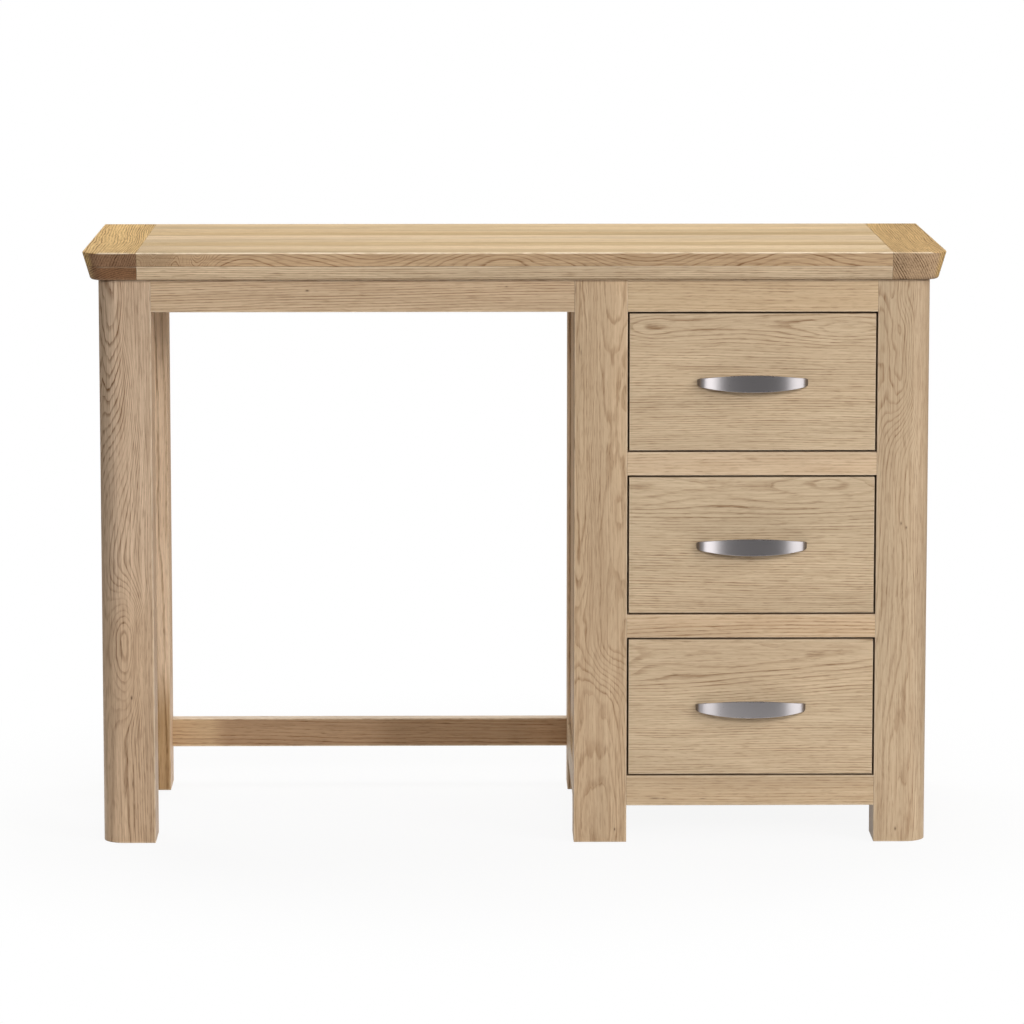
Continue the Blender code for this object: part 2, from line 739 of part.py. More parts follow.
def handle_side_mesh(name):
    """The bow seen from above: half an ellipse outside, a smaller one inside, solid feet."""
    half = HANDLE_HOLE_SPACING / 2 + HANDLE_FOOT
    inner_half = HANDLE_HOLE_SPACING / 2 - HANDLE_FOOT
    inner_rise = HANDLE_PROJECTION - HANDLE_THICKNESS
    points = []
    for step in range(HANDLE_SEGMENTS + 1):
        angle = math.pi * step / HANDLE_SEGMENTS
        points.append((-half * math.cos(angle), HANDLE_PROJECTION * math.sin(angle)))
    for step in range(HANDLE_SEGMENTS + 1):
        angle = math.pi * step / HANDLE_SEGMENTS
        points.append((inner_half * math.cos(angle), inner_rise * math.sin(angle)))
    mesh = outline_mesh(name, points, HANDLE_HEIGHT + 2 * OVERRUN)
    return turn_mesh(mesh, RIGHT, -BACKWARD, UP)


def handle_front_mesh(name):
    """The bow seen from the front: tallest in the middle, falling along a parabola to its ends."""
    half = HANDLE_HOLE_SPACING / 2 + HANDLE_FOOT
    rise = (HANDLE_HEIGHT - HANDLE_END_HEIGHT) / 2
    upper = []
    for step in range(HANDLE_SEGMENTS + 1):
        share = 2 * step / HANDLE_SEGMENTS - 1
        upper.append((share * half, HANDLE_END_HEIGHT / 2 + rise * (1 - share**2)))
    upper[0] = (-half - OVERRUN, upper[0][1])
    upper[-1] = (half + OVERRUN, upper[-1][1])
    lower = [(across, -up) for across, up in reversed(upper)]
    mesh = outline_mesh(name, upper + lower, 2 * (HANDLE_PROJECTION + OVERRUN))
    return turn_mesh(mesh, RIGHT, UP, BACKWARD)


def cylinder_mesh(name, radius, length):
    """A cylinder along Y about its own origin."""
    shape = bmesh.new()
    bmesh.ops.create_cone(
        shape,
        cap_ends=True,
        segments=SCREW_SIDES,
        radius1=radius,
        radius2=radius,
        depth=length,
    )
    mesh = bpy.data.meshes.new(name)
    shape.to_mesh(mesh)
    shape.free()
    return turn_mesh(mesh, RIGHT, UP, BACKWARD)


def screw_mesh(name):
    """A machine screw along Y, its tip towards the front, turned from one profile."""
    grip = SCREW_ENGAGEMENT + FRONT_THICKNESS
    under_head = grip + 2 * JOINT_GAP
    head_end = under_head + SCREW_HEAD_HEIGHT
    profile = [
        (0, 0),
        (SCREW_RADIUS - JOINT_GAP, 0),
        (SCREW_RADIUS, JOINT_GAP),
        (SCREW_RADIUS, under_head),
        (SCREW_HEAD_RADIUS, under_head),
        (SCREW_HEAD_RADIUS, under_head + SCREW_HEAD_HEIGHT / 2),
        (SCREW_HEAD_RADIUS * SCREW_HEAD_TOP_SHARE, head_end),
        (0, head_end),
    ]
    shape = bmesh.new()
    verts = [shape.verts.new((radius, along, 0)) for radius, along in profile]
    edges = [shape.edges.new(pair) for pair in zip(verts, verts[1:])]
    bmesh.ops.spin(
        shape,
        geom=verts + edges,
        cent=Vector((0, 0, 0)),
        axis=BACKWARD,
        dvec=Vector((0, 0, 0)),
        angle=2 * math.pi,
        steps=SCREW_SIDES,
        use_merge=True,
    )
    bmesh.ops.remove_doubles(shape, verts=shape.verts, dist=WELD_DISTANCE)
    bmesh.ops.recalc_face_normals(shape, faces=shape.faces)
    mesh = bpy.data.meshes.new(name)
    shape.to_mesh(mesh)
    shape.free()
    return mesh


def add_handle(prefix, front, slide):
    name = prefix + "_handle"
    centre = Vector(slide.location)
    seat = centre - BACKWARD * JOINT_GAP
    handle = add_part(name, handle_side_mesh(name), seat, BRUSHED_METAL, slide)
    shape = add_helper(name + "_outline", handle_front_mesh(name + "_outline"), seat)
    combine(handle, shape, "INTERSECT")
    add_bevel(handle, HANDLE_ARRIS, segments=1)
    hole_radius = SCREW_RADIUS + JOINT_GAP
    blind = SCREW_ENGAGEMENT + 2 * JOINT_GAP
    hole_length = blind + FRONT_THICKNESS + OVERRUN
    for side, sign in (("left", -1), ("right", 1)):
        across = RIGHT * sign * HANDLE_HOLE_SPACING / 2
        hole_name = prefix + "_screw_hole_" + side
        hole_centre = centre + across + BACKWARD * (hole_length / 2 - blind)
        hole = add_helper(
            hole_name, cylinder_mesh(hole_name, hole_radius, hole_length), hole_centre
        )
        cut(front, hole)
        cut(handle, hole)
        screw_name = prefix + "_handle_screw_" + side
        tip = centre + across - BACKWARD * (SCREW_ENGAGEMENT + JOINT_GAP)
        add_part(screw_name, screw_mesh(screw_name), tip, SCREW_METAL, slide)


def main():
    add_table_top()
    legs = add_legs()
    add_kneehole(legs)
    add_pedestal_front(legs)
    add_pedestal_side("left", MIDDLE_LEG_X, 1, legs["front_middle"], legs["back_middle"])
    add_pedestal_side("right", FRAME_HALF_WIDTH, -1, legs["front_right"], legs["back_right"])
    add_pedestal_back(legs)
    add_kicker()
    for level, level_name in enumerate(("lower", "middle", "upper")):
        add_runners(level, level_name)
        add_drawer(level, level_name)


main()
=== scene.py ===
"""The oak dressing table dressed for its picture: grain, lacquer, handles, light, floor and camera."""

import json
import math

import bmesh
import bpy
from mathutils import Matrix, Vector


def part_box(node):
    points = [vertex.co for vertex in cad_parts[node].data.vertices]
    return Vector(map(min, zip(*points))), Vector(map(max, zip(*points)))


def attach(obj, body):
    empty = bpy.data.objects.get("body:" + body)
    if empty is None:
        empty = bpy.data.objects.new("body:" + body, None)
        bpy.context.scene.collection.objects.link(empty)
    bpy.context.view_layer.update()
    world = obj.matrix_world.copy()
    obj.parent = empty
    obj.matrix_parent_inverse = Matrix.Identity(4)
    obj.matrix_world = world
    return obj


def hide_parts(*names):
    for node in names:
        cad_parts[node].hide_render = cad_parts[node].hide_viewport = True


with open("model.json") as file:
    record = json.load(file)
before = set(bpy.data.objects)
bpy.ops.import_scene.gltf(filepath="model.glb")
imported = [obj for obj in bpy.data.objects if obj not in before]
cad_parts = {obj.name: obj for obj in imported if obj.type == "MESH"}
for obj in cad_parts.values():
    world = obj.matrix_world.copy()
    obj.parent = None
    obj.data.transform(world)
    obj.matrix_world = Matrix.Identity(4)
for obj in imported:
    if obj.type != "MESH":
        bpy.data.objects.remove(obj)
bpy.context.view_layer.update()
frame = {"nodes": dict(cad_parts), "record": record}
nodes = frame["nodes"]


# Colours, written as the 0 to 255 display values that linear() takes. A tint above 255 brightens
PORE_BROWN = (112, 84, 58)
KNOT_BROWN = (74, 48, 30)
# Painted shade and a painted shadow line in the gaps round the drawer fronts
GAP_SHADE = (78, 54, 36)
GAP_SHADOW_LINE = (30, 12, 2)
# Painted shade: the dark line just under the top
UNDER_TOP_SHADE_BROWN = (84, 60, 40)
# Lighter edges: rubbed wood and a painted highlight along the arrises
WORN_EDGE_HIGHLIGHT = (246, 228, 200)
WARM_TINT = (255, 243, 236)
NICKEL = (178, 173, 174)
SCREW_NICKEL = (170, 170, 170)
FOOT_SHADE = (92, 88, 88)
FLOOR_GREY = (240, 240, 240)


def linear(colour):
    shares = [value / 255 for value in colour]
    bent = [s / 12.92 if s <= 0.04045 else ((s + 0.055) / 1.055) ** 2.4 for s in shares]
    return (*bent, 1.0)


# Shader arithmetic
def connect(tree, socket, value):
    if isinstance(value, Field):
        value = value.socket
    if isinstance(value, bpy.types.NodeSocket):
        tree.links.new(value, socket)
    else:
        socket.default_value = value


class Field:
    """A number that varies over a surface, so that a shader reads as plain arithmetic."""

    def __init__(self, tree, socket):
        self.tree = tree
        self.socket = socket

    def apply(self, operation, *others):
        node = self.tree.nodes.new("ShaderNodeMath")
        node.operation = operation
        for socket, value in zip(node.inputs, (self, *others)):
            connect(self.tree, socket, value)
        return Field(self.tree, node.outputs[0])

    def __add__(self, other):
        return self.apply("ADD", other)

    def __sub__(self, other):
        return self.apply("SUBTRACT", other)

    def __mul__(self, other):
        return self.apply("MULTIPLY", other)

    def __truediv__(self, other):
        return self.apply("DIVIDE", other)

    def ramp(self, start, end, low=0.0, high=1.0):
        node = self.tree.nodes.new("ShaderNodeMapRange")
        node.interpolation_type = "SMOOTHSTEP"
        for socket, value in zip(node.inputs, (self, start, end, low, high)):
            connect(self.tree, socket, value)
        return Field(self.tree, node.outputs[0])


def separate(tree, vector):
    node = tree.nodes.new("ShaderNodeSeparateXYZ")
    connect(tree, node.inputs[0], vector)
    return [Field(tree, socket) for socket in node.outputs]


def combine(tree, x, y, z):
    node = tree.nodes.new("ShaderNodeCombineXYZ")
    for socket, value in zip(node.inputs, (x, y, z)):
        connect(tree, socket, value)
    return node.outputs[0]


def vector_math(tree, operation, first, second):
    node = tree.nodes.new("ShaderNodeVectorMath")
    node.operation = operation
    connect(tree, node.inputs[0], first)
    connect(tree, node.inputs[1], second)
    return node.outputs["Value"] if operation == "DOT_PRODUCT" else node.outputs[0]


def noise(tree, point, scales, detail=1.0):
    """Smooth noise whose size differs along each axis; scales are in waves per metre."""
    node = tree.nodes.new("ShaderNodeTexNoise")
    node.inputs["Scale"].default_value = 1.0
    node.inputs["Detail"].default_value = detail
    connect(tree, node.inputs["Vector"], vector_math(tree, "MULTIPLY", point, scales))
    return node


def noise_value(tree, point, scales, detail=1.0):
    return Field(tree, noise(tree, point, scales, detail).outputs[0])


def noise_shifts(tree, point, scales, detail=1.0):
    colour = noise(tree, point, scales, detail).outputs[1]
    return [axis - 0.5 for axis in separate(tree, colour)]


def mix(tree, share, first, second, mode="MIX", beyond=False):
    """Blends two colours; beyond lets a share under 0 or over 1 carry on past them."""
    node = tree.nodes.new("ShaderNodeMix")
    node.data_type = "RGBA"
    node.blend_type = mode
    node.clamp_factor = not beyond
    for name, value in (("Factor_Float", share), ("A_Color", first), ("B_Color", second)):
        socket = next(s for s in node.inputs if s.identifier == name)
        connect(tree, socket, value)
    return next(s for s in node.outputs if s.identifier == "Result_Color")


def tinted(tree, colour, tint):
    return mix(tree, 1.0, colour, tint, "MULTIPLY")


def grey(tree, value):
    return combine(tree, value, value, value)


def facing(tree, geometry, direction):
    """How far a face looks along a direction, from -1 to 1."""
    return Field(tree, vector_math(tree, "DOT_PRODUCT", geometry.outputs["Normal"], direction))


def add_bump(tree, shader, height, strength, distance):
    bump = tree.nodes.new("ShaderNodeBump")
    bump.inputs["Strength"].default_value = strength
    bump.inputs["Distance"].default_value = distance
    connect(tree, bump.inputs["Height"], height)
    connect(tree, shader.inputs["Normal"], bump.outputs[0])


def hill(along, across, centre, size):
    """A rounded hill on the board's face, 1 at its centre."""
    far = (along - centre[0]) / size[0]
    aside = (across - centre[1]) / size[1]
    square = far * far + aside * aside
    return (square * -1.0).apply("EXPONENT")


# Oak, seen as growth rings round a pith, with pores, fibres and slow changes of colour
OAK_INPUTS = (
    ("Point", "NodeSocketVector"),
    ("End", "NodeSocketFloat"),
    ("Seed", "NodeSocketFloat"),
    ("Pith Across", "NodeSocketFloat"),
    ("Pith Deep", "NodeSocketFloat"),
    ("Lean Across", "NodeSocketFloat"),
    ("Lean Deep", "NodeSocketFloat"),
    ("Ring", "NodeSocketFloat"),
    ("Wave", "NodeSocketFloat"),
    ("Bend", "NodeSocketFloat"),
    ("Contrast", "NodeSocketFloat"),
    ("Pores", "NodeSocketFloat"),
    ("Blotch", "NodeSocketFloat"),
    ("Light", "NodeSocketColor"),
    ("Dark", "NodeSocketColor"),
)
OAK_OUTPUTS = (
    ("Color", "NodeSocketColor"),
    ("Height", "NodeSocketFloat"),
    ("Roughness", "NodeSocketFloat"),
)

# How often each feature repeats along, across and into the board, in waves per metre
SLOW_WANDER = (2.2, 7.0, 7.0)
QUICK_WANDER = (14.0, 70.0, 70.0)
FIGURE_WANDER = (13.0, 38.0, 38.0)
RING_PATCHES = (17.0, 150.0, 150.0)
SHORT_PORES = (85.0, 900.0, 900.0)
LONG_PORES = (48.0, 560.0, 560.0)
FIBRES = (11.0, 520.0, 520.0)
BANDS = (2.4, 90.0, 90.0)
SLOW_TONES = (1.6, 15.0, 15.0)
WARM_PATCHES = (0.9, 9.0, 9.0)
EDGE_PATCHES = (45.0, 45.0, 45.0)


def make_oak_group():
    tree = bpy.data.node_groups.new("oak_grain", "ShaderNodeTree")
    for name, kind in OAK_INPUTS:
        tree.interface.new_socket(name=name, in_out="INPUT", socket_type=kind)
    for name, kind in OAK_OUTPUTS:
        tree.interface.new_socket(name=name, in_out="OUTPUT", socket_type=kind)
    source = tree.nodes.new("NodeGroupInput")
    result = tree.nodes.new("NodeGroupOutput")

    def given(name):
        socket = source.outputs[name]
        return Field(tree, socket) if socket.type == "VALUE" else socket

    seed = given("Seed")
    shift = combine(tree, seed * 3.1, seed * 1.7, seed * 2.3)
    seeded = vector_math(tree, "ADD", given("Point"), shift)
    along, across, deep = separate(tree, given("Point"))
    slow = noise_shifts(tree, seeded, SLOW_WANDER, 1.0)
    quick = noise_shifts(tree, seeded, QUICK_WANDER, 2.0)
    wave = given("Wave")
    flow_across = across + (slow[0] * 2.0 + quick[0] * 0.20) * wave
    flow_deep = deep + (slow[1] * 2.0 + quick[1] * 0.20) * wave
    from_pith_across = flow_across - given("Pith Across") - along * given("Lean Across")
    from_pith_deep = flow_deep - given("Pith Deep") - along * given("Lean Deep")
    square = from_pith_across * from_pith_across + from_pith_deep * from_pith_deep
    rings = square.apply("SQRT") / given("Ring") + given("Bend") + slow[2] * 1.2
    index = rings.apply("FLOOR")
    share = rings.apply("FRACT")
    patch = noise_value(tree, seeded, RING_PATCHES, 2.0).ramp(0.36, 0.60) * 0.50 + 0.50
    hash_node = tree.nodes.new("ShaderNodeTexWhiteNoise")
    hash_node.noise_dimensions = "1D"
    connect(tree, hash_node.inputs["W"], index + seed)
    strength = Field(tree, hash_node.outputs[0]) * 0.7 + 0.3
    early = share.ramp(0.04, 0.38, 1.0, 0.0) + share.ramp(0.90, 1.0)
    early = early.apply("MINIMUM", 1.0) * strength * patch

    flow = combine(tree, along, flow_across + seed, flow_deep + seed * 0.7)
    fine = noise_value(tree, flow, SHORT_PORES, 1.0).ramp(0.54, 0.68)
    dash = noise_value(tree, flow, LONG_PORES, 1.0).ramp(0.54, 0.70)
    fibre = noise_value(tree, flow, FIBRES, 2.0) - 0.5
    band = noise_value(tree, flow, BANDS, 2.0) - 0.5
    slow_tone = noise_value(tree, seeded, SLOW_TONES, 2.0) - 0.5
    warm_tone = noise_value(tree, seeded, WARM_PATCHES, 1.0).ramp(0.35, 0.70)

    tone = early * given("Contrast") * 1.30 + fibre * 1.05 + band * 0.38 + dash * 0.20 + 0.10
    colour = mix(tree, tone.apply("MINIMUM", 1.0), given("Light"), given("Dark"), beyond=True)
    pores = (fine * (early * 0.55 + 0.16) + dash * (early * 0.40 + 0.10)) * given("Pores")
    colour = mix(tree, pores, colour, linear(PORE_BROWN))
    bright = slow_tone * given("Blotch") + 1.02
    colour = tinted(tree, colour, grey(tree, bright))
    colour = mix(tree, warm_tone * 0.15, colour, tinted(tree, colour, linear(WARM_TINT)))
    end = given("End")
    height = fibre * 0.25 - pores * 0.8 - early * 0.18
    roughness = pores * 0.25 + fibre * 0.12 + end * 0.14 + early * 0.04 + 0.44
    connect(tree, result.inputs["Color"], colour)
    connect(tree, result.inputs["Height"], height)
    connect(tree, result.inputs["Roughness"], roughness)
    return tree


oak_group = make_oak_group()

# Which world axes run along the grain, across the shown face and into the board
GRAIN = {
    "side_to_side": (0, 2, 1),
    "upright": (2, 0, 1),
    "upright_side": (2, 1, 0),
    "front_to_back": (1, 0, 2),
    "front_to_back_side": (1, 2, 0),
    "flat": (0, 1, 2),
}


def depth_inside(place, low, high, axis, side=None):
    """How deep a point lies under the box's nearer face on an axis, or under the face on one side."""
    middle = (low[axis] + high[axis]) / 2
    half = (high[axis] - low[axis]) / 2
    offset = place[axis] - middle
    offset = offset.apply("ABSOLUTE") if side is None else offset * float(side)
    return offset * -1.0 + half


def edge_wear_and_highlight(tree, place, low, high, seed, joined=None):
    """1 along the box's edges, fading over two millimetres, and uneven along them. Oak lightens these
    edges, partly as rubbed wood and partly as a painted highlight. joined names an axis and a side,
    -1 or 1, where the board meets another and has no edge of its own there."""
    depths = []
    for axis in range(3):
        other_side = -joined[1] if joined is not None and joined[0] == axis else None
        depths.append(depth_inside(place, low, high, axis, other_side))
    lower = depths[0].apply("MINIMUM", depths[1])
    upper = depths[0].apply("MAXIMUM", depths[1])
    second = lower.apply("MAXIMUM", upper.apply("MINIMUM", depths[2]))
    point = combine(tree, place[0] + seed, place[1], place[2])
    uneven = noise_value(tree, point, EDGE_PATCHES, 2.0).ramp(0.30, 0.62)
    return second.ramp(0.0004, 0.0026, 1.0, 0.0) * (uneven * 0.7 + 0.3)


def new_material(name):
    material = bpy.data.materials.new(name)
    material.use_nodes = True
    tree = material.node_tree
    shader = tree.nodes["Principled BSDF"]
    return material, tree, shader


def object_place(tree):
    node = tree.nodes.new("ShaderNodeTexCoord")
    return separate(tree, node.outputs["Object"])


def oak(
    name,
    grain,
    light,
    dark,
    seed,
    pith=(0.0, 0.10),
    at=0.0,
    lean=(0.0, 0.0),
    ring=0.0032,
    wave=0.010,
    contrast=0.8,
    pores=0.7,
    blotch=0.5,
    eyes=(),
    arches=(),
    marks=(),
    staves=None,
    front_shade_and_grain=None,
    edge_highlight_and_wear=0.30,
    under_top_shade=None,
    end_tone=(206, 194, 182),
    light_and_shade_fades=(),
    joined=None,
    around_tone=None,
    rim=0.0,
):
    """Gives a node an oak material. pith is where the rings' centre passes at the height or length `at`.
    contrast is one number, or two places along the grain, each with its own. An eye closes the rings
    round a point; an arch bends them over a stretch of the length, pointing up where its turns are
    positive. rim paints shade on the narrow faces that close a gap and paints the gap's shadow as a dark
    line along the front edge. under_top_shade is the height of a dark line of painted shade under the
    top. edge_highlight_and_wear lightens the edges, partly as rubbed wood and partly as a painted
    highlight. light_and_shade_fades, each between two points along the grain, paint light and shade on
    the faces that look forward; front_shade_and_grain tints those faces, partly as grain and partly as
    painted shade, and around_tone tints those that look neither up nor sideways."""
    material, tree, shader = new_material("oak_" + name)
    place = object_place(tree)
    along, across, deep = [place[axis] for axis in GRAIN[grain]]
    group = tree.nodes.new("ShaderNodeGroup")
    group.node_tree = oak_group
    geometry = tree.nodes.new("ShaderNodeNewGeometry")
    direction = [0.0, 0.0, 0.0]
    direction[GRAIN[grain][0]] = 1.0
    at_end = facing(tree, geometry, direction).apply("ABSOLUTE").ramp(0.60, 0.95)
    connect(tree, group.inputs["End"], at_end)
    if isinstance(contrast, tuple):
        (start, first), (end, second) = contrast
        contrast = along.ramp(start, end, first, second)
    values = {
        "Seed": seed,
        "Pith Across": pith[0] - lean[0] * at,
        "Pith Deep": pith[1] - lean[1] * at,
        "Lean Across": lean[0],
        "Lean Deep": lean[1],
        "Ring": ring,
        "Wave": wave,
        "Bend": 0.0,
        "Contrast": contrast,
        "Pores": pores,
        "Blotch": blotch,
        "Light": linear(light),
        "Dark": linear(dark),
    }
    point = combine(tree, along, across, deep)
    tint = None
    if staves:
        start, width, tones = staves
        index = ((across - start) / width).apply("FLOOR")
        point = combine(tree, along + index * 2.7, across + index * 0.31, deep + index * 0.17)
        tint = stave_tint(tree, index, tones)
    bend = None
    if eyes or arches:
        warp = noise_shifts(tree, combine(tree, along + seed, across, deep), FIGURE_WANDER, 2.0)
        bent_along = along + warp[0] * 0.030
        bent_across = across + warp[1] * 0.012
    for centre, size, turns in eyes:
        step = hill(bent_along, bent_across, centre, size) * turns
        bend = step if bend is None else bend + step
    for (start, end), (middle, width), turns in arches:
        aside = (bent_across - middle) / width
        ridge = (aside * aside * -1.0).apply("EXPONENT")
        step = (along + warp[0] * 0.010).ramp(start, end) * ridge * turns
        bend = step if bend is None else bend + step
    if bend is not None:
        values["Bend"] = bend
    connect(tree, group.inputs["Point"], point)
    for label, value in values.items():
        connect(tree, group.inputs[label], value)
    colour = group.outputs["Color"]
    height = Field(tree, group.outputs["Height"])
    if tint is not None:
        colour = tinted(tree, colour, tint)
    colour = mix(tree, at_end, colour, tinted(tree, colour, linear(end_tone)))
    forward = facing(tree, geometry, (0.0, -1.0, 0.0))
    # Painted light and shade along the grain, on the faces that look forward
    for start, end, shade in light_and_shade_fades:
        faded = tinted(tree, colour, linear(shade))
        colour = mix(tree, along.ramp(start, end) * forward.ramp(0.2, 0.8), colour, faded)
    for centre, size, depth in marks:
        pit = hill(along, across, centre, size)
        colour = mix(tree, pit * depth, colour, linear(KNOT_BROWN))
        height = height - pit * depth
    # Forward faces darker than the rest: partly their grain, partly painted shade
    if front_shade_and_grain is not None:
        colour = mix(tree, forward.ramp(0.45, 0.85), colour, tinted(tree, colour, linear(front_shade_and_grain)))
    if around_tone is not None:
        upward = facing(tree, geometry, (0.0, 0.0, 1.0))
        sideways = facing(tree, geometry, (1.0, 0.0, 0.0)).apply("ABSOLUTE")
        share = upward.ramp(0.35, 0.75, 1.0, 0.0) * sideways.ramp(0.50, 0.85, 1.0, 0.0)
        around = tinted(tree, colour, linear(around_tone))
        colour = mix(tree, share, colour, around)
    low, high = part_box(name)
    # Painted shade on the narrow faces in the gaps round a drawer front, and a painted shadow line along
    # its front edge
    if rim:
        turned = facing(tree, geometry, (0.0, 1.0, 0.0))
        colour = mix(tree, turned.apply("ABSOLUTE").ramp(0.2, 0.6, rim, 0.0), colour, linear(GAP_SHADE))
        depth = depth_inside(place, low, high, 0).apply("MINIMUM", depth_inside(place, low, high, 2))
        line = depth.ramp(0.0001, 0.0007, 1.0, 0.0)
        line = line * turned.ramp(-0.9, -0.6, 0.85, 0.0)
        colour = mix(tree, line, colour, linear(GAP_SHADOW_LINE))
    # A dark line of painted shade just under the top, where its overhang shades the rails and legs
    if under_top_shade is not None:
        line = place[2].ramp(under_top_shade - 0.0006, under_top_shade + 0.0006)
        colour = mix(tree, line * 0.45, colour, linear(UNDER_TOP_SHADE_BROWN))
    # Lighter edges: partly rubbed wood, partly a painted highlight along the arrises
    edge_share = edge_wear_and_highlight(tree, place, low, high, seed, joined)
    colour = mix(tree, edge_share * edge_highlight_and_wear, colour, linear(WORN_EDGE_HIGHLIGHT))
    connect(tree, shader.inputs["Base Color"], colour)
    connect(tree, shader.inputs["Roughness"], Field(tree, group.outputs["Roughness"]) - edge_share * 0.08)
    add_bump(tree, shader, height, strength=0.35, distance=0.0004)
    shader.inputs["Specular IOR Level"].default_value = 0.14
    set_material(name, material)


def stave_tint(tree, index, tones):
    """The tint of each stave by its number, from the front backwards. Lighter staves are less yellow."""
    total = None
    for number, tone in enumerate(tones):
        here = (index - float(number)).apply("ABSOLUTE").apply("LESS_THAN", 0.5) * tone
        total = here if total is None else total + here
    return combine(tree, total, total * (total * 0.25 + 0.77), total * total * 1.07)


def set_material(name, material):
    owner = dressed.get(name, nodes[name])
    owner.data.materials.clear()
    owner.data.materials.append(material)


# Rails and legs meet flush, so each rail's shoulders are drawn out across the clearance to the leg.
# Listed by axis is where the legs' faces lie along it
LEG_FACES = {0: (-0.463, 0.076, 0.144, 0.463), 1: (-0.13485, 0.15315)}
WIDEST_CLEARANCE = 0.00036
CLOSED_SHARE = 0.9
SAME_POINT = 0.000005
FLAT_ANGLE = math.radians(0.5)
SHARP_ANGLE = math.radians(50)
WOOD_WEIGHT = 80
METAL_WEIGHT = 90


def close_shoulders(shape, axis):
    for vert in shape.verts:
        for face in LEG_FACES[axis]:
            gap = face - vert.co[axis]
            if abs(gap) < WIDEST_CLEARANCE:
                vert.co[axis] += gap * CLOSED_SHARE


# Pieces with rounded corners, whose facets are shaded as one curve
def smoothed(name):
    source = nodes[name]
    mesh = source.data.copy()
    mesh.name = name + "_finished"
    shape = bmesh.new()
    shape.from_mesh(mesh)
    bmesh.ops.remove_doubles(shape, verts=shape.verts, dist=SAME_POINT)
    bmesh.ops.dissolve_limit(shape, angle_limit=FLAT_ANGLE, verts=shape.verts, edges=shape.edges)
    if name in RAIL_AXES:
        close_shoulders(shape, RAIL_AXES[name])
    for face in shape.faces:
        face.smooth = True
    for edge in shape.edges:
        turn = edge.calc_face_angle(math.pi)
        edge.smooth = turn < SHARP_ANGLE
    shape.to_mesh(mesh)
    shape.free()
    for attribute in [a.name for a in mesh.attributes if a.name == "custom_normal"]:
        mesh.attributes.remove(mesh.attributes[attribute])
    return add_piece(mesh, name, WOOD_WEIGHT)


def add_piece(mesh, name, weight):
    """Puts a mesh in the scene in place of a node. A higher weight keeps its large faces flatter."""
    piece = bpy.data.objects.new(mesh.name, mesh)
    bpy.context.scene.collection.objects.link(piece)
    weigh = piece.modifiers.new("weighted", "WEIGHTED_NORMAL")
    weigh.keep_sharp = True
    weigh.weight = weight
    body = next(b for b, members in frame["record"]["behaviour"]["bodies"].items() if name in members)
    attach(piece, body)
    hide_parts(name)
    return piece


RAIL_AXES = {
    "kneehole_front_rail": 0,
    "kneehole_back_rail": 0,
    "back_stretcher": 0,
    "pedestal_front_top_rail": 0,
    "drawer_divider_upper": 0,
    "drawer_divider_lower": 0,
    "pedestal_front_bottom_rail": 0,
    "pedestal_back_top_rail": 0,
    "pedestal_back_bottom_rail": 0,
    "left_side_rail": 1,
    "pedestal_left_top_rail": 1,
    "pedestal_left_bottom_rail": 1,
    "pedestal_right_top_rail": 1,
    "pedestal_right_bottom_rail": 1,
}
SMOOTHED = (
    *RAIL_AXES,
    "top_centre_panel",
    "top_end_left",
    "top_end_left_lower",
    "top_end_right",
    "top_front_lower_strip",
    "top_back_lower_strip",
    "leg_front_left",
    "leg_front_middle",
    "leg_front_right",
    "leg_back_left",
    "leg_back_middle",
    "leg_back_right",
)
dressed = {name: smoothed(name) for name in SMOOTHED}


# Handles: a bow of flat metal that is tallest in its middle and stands on two solid feet
BOW_STATIONS = 72
CORNER_STEPS = 4
BOW_THICKNESS = 0.0045
BOW_FOOT_LENGTH = 0.0138
BOW_CORNER = 0.0006
BOW_ROUND_LENGTH = 0.0045
BOW_END_HEIGHT_SHARE = 0.353
BOW_ROUND_SHARE = 0.62
BRUSH_LINES = (9.0, 2400.0, 2400.0)
METAL_CLOUDS = (40.0, 40.0, 40.0)


def bow_section(station, low, high):
    """One slice through the bow, from its outer curve to its inner one."""
    half = (high.x - low.x) / 2
    centre_x = (low.x + high.x) / 2
    centre_z = (low.z + high.z) / 2
    reach = high.y - low.y
    tall = (high.z - low.z) / 2
    end_tall = tall * BOW_END_HEIGHT_SHARE
    angle = math.pi * station / BOW_STATIONS
    outer = Vector((-half * math.cos(angle), reach * math.sin(angle)))
    inner = Vector((-(half - BOW_FOOT_LENGTH) * math.cos(angle), (reach - BOW_THICKNESS) * math.sin(angle)))
    middle = (outer + inner) / 2
    across = (outer - inner) / 2
    thick = across.length
    side = across.normalized()
    share = middle.x / half
    rise = end_tall + (tall - end_tall) * (1 - share * share)
    corner = min(BOW_CORNER, thick * 0.45, rise * 0.45)
    points = []
    round_start = half - BOW_ROUND_LENGTH
    for quarter, (sx, sz) in enumerate(((1, 1), (-1, 1), (-1, -1), (1, -1))):
        for step in range(CORNER_STEPS + 1):
            turn = math.pi / 2 * (quarter + step / CORNER_STEPS)
            out = sx * (thick - corner) + corner * math.cos(turn)
            up = sz * (rise - corner) + corner * math.sin(turn)
            spot = middle + side * out
            over = max(0.0, (abs(spot.x) - round_start) / (half - round_start))
            up *= math.sqrt(max(0.0, 1 - BOW_ROUND_SHARE * over * over))
            points.append(Vector((centre_x + spot.x, high.y - spot.y, centre_z + up)))
    return points


